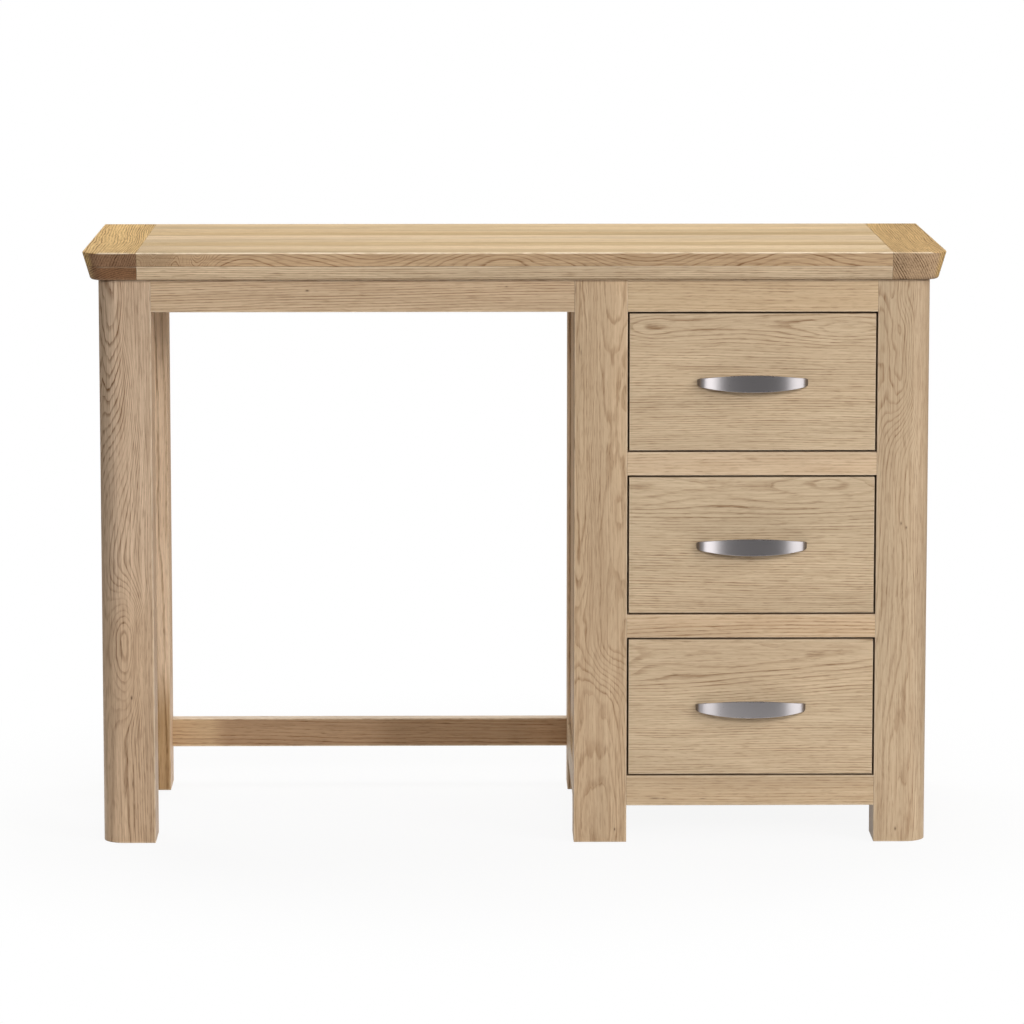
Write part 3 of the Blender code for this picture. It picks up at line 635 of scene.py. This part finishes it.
def add_handle(name):
    low, high = [Vector(corner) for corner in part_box(name)]
    shape = bmesh.new()
    rings = []
    for station in range(BOW_STATIONS + 1):
        rings.append([shape.verts.new(p) for p in bow_section(station, low, high)])
    count = len(rings[0])
    for first, second in zip(rings, rings[1:]):
        for k in range(count):
            shape.faces.new((first[k], first[(k + 1) % count], second[(k + 1) % count], second[k]))
    shape.faces.new(rings[0])
    shape.faces.new(list(reversed(rings[-1])))
    bmesh.ops.recalc_face_normals(shape, faces=shape.faces)
    for face in shape.faces:
        face.smooth = True
    for edge in shape.edges:
        edge.smooth = edge.calc_face_angle(math.pi) < SHARP_ANGLE
    mesh = bpy.data.meshes.new(name + "_bow")
    shape.to_mesh(mesh)
    shape.free()
    dressed[name] = add_piece(mesh, name, METAL_WEIGHT)


def brushed(name, seed, tone=NICKEL, roughness=0.29):
    material, tree, shader = new_material("brushed_" + name)
    place = object_place(tree)
    point = combine(tree, place[0] + seed, place[1], place[2])
    lines = noise_value(tree, point, BRUSH_LINES, 1.0) - 0.5
    clouds = noise_value(tree, point, METAL_CLOUDS, 1.0) - 0.5
    low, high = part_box(name)
    edge_share = edge_wear_and_highlight(tree, place, low, high, seed)
    bright = lines * 0.10 + clouds * 0.03 + 1.0
    colour = tinted(tree, linear(tone), grey(tree, bright))
    centre = (low[0] + high[0]) / 2
    half = (high[0] - low[0]) / 2
    # The feet painted darker: painted shade and a painted dark reflection where the bow meets the drawer
    # front
    foot = (place[0] - centre).apply("ABSOLUTE").ramp(half - 0.0060, half - 0.0015)
    colour = mix(tree, foot * 0.75, colour, linear(FOOT_SHADE))
    connect(tree, shader.inputs["Base Color"], colour)
    connect(tree, shader.inputs["Roughness"], lines * 0.05 + clouds * 0.02 - edge_share * 0.04 + roughness)
    add_bump(tree, shader, lines, strength=0.05, distance=0.00002)
    shader.inputs["Metallic"].default_value = 1.0
    set_material(name, material)


for number, level in enumerate(("lower", "middle", "upper")):
    add_handle(f"drawer_{level}_handle")
    brushed(f"drawer_{level}_handle", number * 0.37)
    for side in ("left", "right"):
        brushed(f"drawer_{level}_handle_screw_{side}", number * 0.53, SCREW_NICKEL, 0.36)


# Legs
# Height of the painted shade line under the top
UNDER_TOP_SHADE_HEIGHT = 0.7261
oak(
    "leg_front_left", "upright", (209, 182, 154), (122, 90, 62), 0.31,
    pith=(-0.504, -0.165), ring=0.0017, wave=0.007, contrast=((0.40, 0.44), (0.70, 0.80)), edge_highlight_and_wear=0.45,
    arches=(
        ((0.13, 0.255), (-0.498, 0.024), -8.0),
        ((0.265, 0.370), (-0.498, 0.024), 11.0),
        ((0.370, 0.740), (-0.507, 0.032), -18.0),
    ),
    marks=(((0.190, -0.4925), (0.0024, 0.0012), 0.9), ((0.078, -0.492), (0.006, 0.0006), 0.7)),
    under_top_shade=UNDER_TOP_SHADE_HEIGHT, light_and_shade_fades=((0.40, 0.24, (243, 239, 233)),),
)
oak(
    "leg_front_middle", "upright", (196, 170, 139), (148, 116, 85), 0.77,
    pith=(0.107, -0.110), ring=0.0014, wave=0.009, contrast=0.58, edge_highlight_and_wear=0.22,
    arches=(
        ((0.00, 0.170), (0.100, 0.040), 3.0),
        ((0.175, 0.265), (0.119, 0.034), 8.0),
        ((0.290, 0.380), (0.086, 0.014), -4.0),
        ((0.420, 0.740), (0.110, 0.040), 2.0),
    ),
    marks=(
        ((0.0168, 0.1288), (0.0020, 0.0010), 0.8),
        ((0.642, 0.0822), (0.0050, 0.0006), 0.7),
        ((0.6355, 0.0846), (0.0040, 0.0006), 0.6),
        ((0.717, 0.0775), (0.0060, 0.0006), 0.8),
    ),
    under_top_shade=UNDER_TOP_SHADE_HEIGHT,
)
oak(
    "leg_front_right", "upright", (190, 167, 138), (146, 115, 86), 1.13,
    pith=(0.4985, -0.115), lean=(0.02, 0.0), ring=0.0014, wave=0.009, contrast=((0.10, 0.40), (0.60, 0.62)),
    edge_highlight_and_wear=0.22,
    arches=(
        ((0.02, 0.400), (0.486, 0.034), 5.0),
        ((0.490, 0.615), (0.4985, 0.028), 10.0),
        ((0.660, 0.715), (0.4985, 0.012), -4.0),
    ),
    marks=(
        ((0.0168, 0.4915), (0.0022, 0.0012), 0.8),
        ((0.415, 0.4950), (0.0020, 0.0010), 0.7),
        ((0.4096, 0.5017), (0.0018, 0.0012), 0.7),
    ),
    under_top_shade=UNDER_TOP_SHADE_HEIGHT,
)
# Lighter than the other back legs, which is painted light; its fade darkens the front face towards the
# floor, a painted shade
oak("leg_back_left", "upright", (232, 204, 173), (170, 136, 104), 1.71, pith=(-0.40, 0.45), wave=0.010,
    contrast=0.6, light_and_shade_fades=((0.19, 0.09, (206, 191, 165)),))
oak("leg_back_middle", "upright", (206, 179, 148), (150, 117, 88), 2.07, pith=(0.20, 0.45), wave=0.010,
    contrast=0.6)
oak("leg_back_right", "upright", (206, 179, 148), (150, 117, 88), 2.51, pith=(0.38, 0.30), wave=0.010,
    contrast=0.6)

# Rails
RAIL = dict(light=(200, 176, 144), dark=(152, 123, 92), contrast=0.6, wave=0.006)
oak("kneehole_front_rail", "side_to_side", (205, 180, 149), (146, 114, 84), 3.11,
    pith=(0.62, -0.16), at=-0.2, lean=(0.02, 0.0), wave=0.006, contrast=0.65, under_top_shade=UNDER_TOP_SHADE_HEIGHT,
    marks=(((-0.264, 0.715), (0.0022, 0.0012), 0.8), ((-0.0105, 0.720), (0.0018, 0.0008), 0.6)))
oak("pedestal_front_top_rail", "side_to_side", (197, 173, 141), (161, 133, 102), 3.57,
    pith=(0.60, -0.14), contrast=0.5, wave=0.006, under_top_shade=UNDER_TOP_SHADE_HEIGHT)
oak("drawer_divider_upper", "side_to_side", (211, 186, 155), (172, 140, 107), 4.03,
    pith=(0.36, -0.12), contrast=0.5, wave=0.006)
oak("drawer_divider_lower", "side_to_side", (202, 177, 146), (162, 127, 93), 4.41,
    pith=(0.20, -0.12), contrast=0.6, wave=0.008)
oak("pedestal_front_bottom_rail", "side_to_side", (197, 173, 142), (161, 130, 98), 4.87,
    pith=(-0.10, -0.15), contrast=0.48, wave=0.006,
    marks=(((0.181, 0.0575), (0.006, 0.0007), 0.7), ((0.192, 0.0570), (0.003, 0.0006), 0.6),
           ((0.242, 0.0568), (0.004, 0.0006), 0.6)))
# Its lighter top and darker front are painted light and shade; along the front, painted light at the left
# end, the pedestal's painted shadow from the middle rightwards, and lighter again at the right end
oak(
    "back_stretcher", "side_to_side", (240, 226, 207), (192, 165, 140), 5.23,
    pith=(-0.05, 0.05), wave=0.008, contrast=0.6, front_shade_and_grain=(187, 165, 142), edge_highlight_and_wear=0.6,
    light_and_shade_fades=(
        (-0.385, -0.415, (294, 304, 306)),
        (-0.21, -0.15, (224, 221, 217)),
        (0.00, 0.05, (284, 284, 284)),
    ),
)
oak("kneehole_back_rail", "side_to_side", seed=5.71, pith=(0.60, 0.10), **RAIL)
oak("left_side_rail", "front_to_back_side", seed=6.13, pith=(0.62, -0.40), **RAIL)
for number, side in enumerate(("left", "right")):
    oak(f"pedestal_{side}_top_rail", "front_to_back_side", seed=6.5 + number, pith=(0.60, 0.20), **RAIL)
    oak(f"pedestal_{side}_bottom_rail", "front_to_back_side", seed=8.5 + number, pith=(-0.1, 0.20), **RAIL)
    oak(f"pedestal_{side}_panel", "upright_side", (208, 181, 149), (160, 128, 97), 10.5 + number,
        pith=(0.02, 0.18), lean=(0.02, 0.05), wave=0.012, contrast=0.65)
oak("pedestal_back_top_rail", "side_to_side", seed=12.3, pith=(0.60, 0.10), **RAIL)
oak("pedestal_back_bottom_rail", "side_to_side", seed=12.9, pith=(-0.10, 0.10), **RAIL)
oak("pedestal_back_panel", "upright", (208, 181, 149), (160, 128, 97), 13.7,
    pith=(0.28, 0.05), lean=(0.02, 0.06), wave=0.012, contrast=0.65)

# Drawer fronts
FRONT_FIGURE = {
    "lower": (((0.3600, 0.2560), (0.060, 0.012), 0.9), ((0.1830, 0.2300), (0.045, 0.018), 1.2)),
    "middle": (((0.3950, 0.4690), (0.045, 0.012), -1.6), ((0.2566, 0.4480), (0.070, 0.018), 1.3)),
    "upper": (((0.4240, 0.6660), (0.040, 0.015), -1.6), ((0.1720, 0.6650), (0.030, 0.017), -1.5),
              ((0.2957, 0.6540), (0.060, 0.016), 1.2)),
}
for number, (level, top_z) in enumerate((("lower", 0.2650), ("middle", 0.4751), ("upper", 0.6853))):
    oak(
        f"drawer_{level}_front", "side_to_side", (201, 179, 149), (152, 124, 95), 14.2 + number * 1.37,
        pith=(top_z - 0.016, -0.165), lean=(0.0, 0.03 - 0.03 * number), ring=0.0030, wave=0.011,
        contrast=0.64, blotch=0.35, eyes=FRONT_FIGURE[level], rim=0.45, edge_highlight_and_wear=0.12,
    )

# Drawer boxes and what they run on
for number, level in enumerate(("lower", "middle", "upper")):
    for place_number, part in enumerate(("side_left", "side_right")):
        oak(f"drawer_{level}_{part}", "front_to_back_side", (212, 188, 154), (170, 138, 104),
            20.1 + number * 2 + place_number, pith=(0.9, 0.2), contrast=0.5)
    oak(f"drawer_{level}_back", "side_to_side", (212, 188, 154), (170, 138, 104), 27.3 + number,
        pith=(0.9, 0.1), contrast=0.5)
    oak(f"drawer_{level}_bottom", "flat", (210, 187, 155), (168, 137, 104), 31.3 + number,
        pith=(0.0, -0.3), contrast=0.5)
    for place_number, side in enumerate(("left", "right")):
        oak(f"runner_{level}_{side}", "front_to_back_side", (206, 180, 146), (160, 128, 95),
            35.3 + number * 2 + place_number, pith=(0.9, 0.2), contrast=0.5)
oak("upper_drawer_kicker", "front_to_back", (206, 180, 146), (160, 128, 95), 42.1,
    pith=(0.4, 0.6), contrast=0.5)

# Top
# Its strongly lightened front arris is mostly a painted highlight; its front is darker, partly grain and
# partly painted shade; its fades paint light at the left end and shade from the middle rightwards
oak(
    "top_centre_panel", "flat", (222, 197, 156), (160, 126, 88), 50.3,
    pith=(-0.285, 0.705), ring=0.0021, wave=0.006, contrast=0.72, blotch=0.7,
    eyes=(
        ((-0.460, -0.224), (0.012, 0.020), 7.0),
        ((-0.430, -0.224), (0.014, 0.020), -6.0),
        ((-0.400, -0.224), (0.016, 0.020), 6.0),
        ((-0.340, -0.224), (0.040, 0.020), -3.0),
        ((-0.180, -0.224), (0.060, 0.016), 4.0),
        ((-0.020, -0.224), (0.080, 0.016), -5.0),
        ((0.170, -0.224), (0.080, 0.016), 5.0),
        ((0.350, -0.224), (0.070, 0.016), -4.0),
    ),
    staves=(-0.222, 0.0526, (0.93, 1.04, 0.84, 1.01, 1.09, 0.84, 0.95, 0.95, 1.02)),
    front_shade_and_grain=(225, 216, 217), edge_highlight_and_wear=0.9,
    light_and_shade_fades=((-0.46, -0.41, (281, 281, 281)), (-0.24, -0.10, (235, 235, 235))), joined=(0, 1),
)
# Its fade darkens the front towards the right: painted shade against the light from the right
oak("top_front_lower_strip", "side_to_side", (222, 197, 164), (153, 121, 89), 51.9,
    pith=(0.55, -0.20), ring=0.0030, wave=0.005, contrast=0.7, light_and_shade_fades=((-0.50, 0.35, (237, 237, 237)),))
oak("top_back_lower_strip", "side_to_side", (209, 184, 151), (156, 125, 93), 52.7,
    pith=(0.55, 0.20), wave=0.005)
oak("top_end_left", "front_to_back", (224, 189, 129), (124, 86, 44), 53.3,
    pith=(-0.38, 0.72), ring=0.0028, wave=0.024, contrast=1.0, edge_highlight_and_wear=0.7, end_tone=(255, 255, 255),
    joined=(0, 1), around_tone=(168, 155, 173))
oak("top_end_left_lower", "front_to_back", (206, 172, 128), (100, 72, 47), 54.1,
    pith=(-0.48, 0.65), ring=0.0026, wave=0.006, contrast=0.95, joined=(0, 1), around_tone=(208, 196, 201))
oak("top_end_right", "front_to_back", (204, 169, 114), (104, 75, 41), 55.7,
    pith=(0.40, 0.70), ring=0.0030, wave=0.018, contrast=1.0, edge_highlight_and_wear=0.7, end_tone=(255, 255, 255),
    joined=(0, -1), around_tone=(227, 230, 267))


# Floor: a white glow for the camera and for gloss. Near the table it keeps a little of its own shading,
# so that a faint shadow stays
FLOOR_RADIUS = 1.05
FLOOR_SIDES = 96
FLOOR_DROP = 0.0002
FLOOR_GRAIN = (9.0, 9.0, 9.0)


def add_floor():
    mesh = bpy.data.meshes.new("floor")
    turns = [math.tau * step / FLOOR_SIDES for step in range(FLOOR_SIDES)]
    rim = [(FLOOR_RADIUS * math.cos(turn), FLOOR_RADIUS * math.sin(turn), 0.0) for turn in turns]
    mesh.from_pydata(rim, [], [tuple(range(FLOOR_SIDES))])
    floor = bpy.data.objects.new("floor", mesh)
    floor.location.z = -FLOOR_DROP
    bpy.context.scene.collection.objects.link(floor)
    material, tree, shader = new_material("pale_floor")
    mesh.materials.append(material)
    place = object_place(tree)
    far = (place[0] * place[0] + place[1] * place[1]).apply("SQRT")
    grain = noise_value(tree, combine(tree, *place), FLOOR_GRAIN, 3.0) - 0.5
    colour = tinted(tree, linear(FLOOR_GREY), grey(tree, grain * 0.02 + 1.0))
    connect(tree, shader.inputs["Base Color"], colour)
    connect(tree, shader.inputs["Roughness"], grain * 0.1 + 0.85)
    shader.inputs["Specular IOR Level"].default_value = 0.0
    glow = tree.nodes.new("ShaderNodeEmission")
    path = tree.nodes.new("ShaderNodeLightPath")
    seen = Field(tree, path.outputs["Is Camera Ray"]) + Field(tree, path.outputs["Is Glossy Ray"])
    seen = seen.apply("MINIMUM", 1.0)
    share = seen * far.ramp(0.5, 1.0, 0.91, 1.0)
    blend = tree.nodes.new("ShaderNodeMixShader")
    connect(tree, blend.inputs[0], share)
    tree.links.new(shader.outputs[0], blend.inputs[1])
    tree.links.new(glow.outputs[0], blend.inputs[2])
    tree.links.new(blend.outputs[0], tree.nodes["Material Output"].inputs[0])


add_floor()

# World: white where the camera looks, an even room light elsewhere. Gloss sees a warm wall behind the
# table and a dark room in front of it. These two colours are linear
WARM_WALL = (1.0, 0.78, 0.58, 1.0)
WHITE = (1.0, 1.0, 1.0, 1.0)
ROOM_LIGHT = 0.20
scene = bpy.context.scene
world = bpy.data.worlds.new("studio")
scene.world = world
world.use_nodes = True
tree = world.node_tree
background = tree.nodes["Background"]
path = tree.nodes.new("ShaderNodeLightPath")
coordinates = tree.nodes.new("ShaderNodeTexCoord")
direction = separate(tree, coordinates.outputs["Generated"])
camera_ray = Field(tree, path.outputs["Is Camera Ray"])
glossy_ray = Field(tree, path.outputs["Is Glossy Ray"])
behind = direction[1].ramp(-0.35, 0.15)
room = glossy_ray * (behind * 0.16 + 0.03) + ROOM_LIGHT
strength = (camera_ray * (room * -1.0 + 1.0)) + room
connect(tree, background.inputs["Strength"], strength)
connect(tree, background.inputs["Color"], mix(tree, glossy_ray * behind, WHITE, WARM_WALL))


# Lamps
def add_lamp(name, place, aim, size, size_y, power):
    light = bpy.data.lights.new(name, "AREA")
    light.shape = "RECTANGLE"
    light.size = size
    light.size_y = size_y
    light.energy = power
    lamp = bpy.data.objects.new(name, light)
    lamp.location = place
    lamp.rotation_euler = (Vector(aim) - Vector(place)).to_track_quat("-Z", "Y").to_euler()
    scene.collection.objects.link(lamp)
    return lamp


softboxes = (
    add_lamp("right_softbox", (3.30, -2.75, 1.70), (0.1, -0.2, 0.5), 2.3, 2.1, 99),
    add_lamp("front_softbox", (0.20, -4.9, 2.00), (0.0, 0.0, 0.4), 1.8, 0.8, 96),
    add_lamp("back_softbox", (-2.9, 3.0, 1.5), (0.0, 0.0, 0.4), 2.6, 2.0, 45),
)
for softbox in softboxes:
    softbox.visible_glossy = False
add_lamp("top_softbox", (0.1, 0.7, 2.6), (0.0, 0.0, 0.7), 2.2, 1.4, 38)

# Low white cards that only shiny things see, so that the handles brighten towards their ends
cards = (
    add_lamp("right_card", (3.76, -2.23, 0.10), (0.3, -0.2, 0.35), 3.2, 2.2, 42),
    add_lamp("left_card", (-2.17, -2.70, 0.10), (0.3, -0.2, 0.35), 1.9, 2.2, 30),
)
for card in cards:
    card.visible_diffuse = False


# Camera
camera_data = bpy.data.cameras.new("camera")
camera_data.lens = 178.05
camera_data.sensor_width = 36.0
camera_data.clip_end = 100.0
camera = bpy.data.objects.new("camera", camera_data)
camera.location = (-0.0776, -6.6218, 1.321)
aim = Vector((-0.0012, 0.0, 0.4024))
camera.rotation_euler = (aim - camera.location).to_track_quat("-Z", "Y").to_euler()
scene.collection.objects.link(camera)
scene.camera = camera
scene.view_settings.view_transform = "Standard"
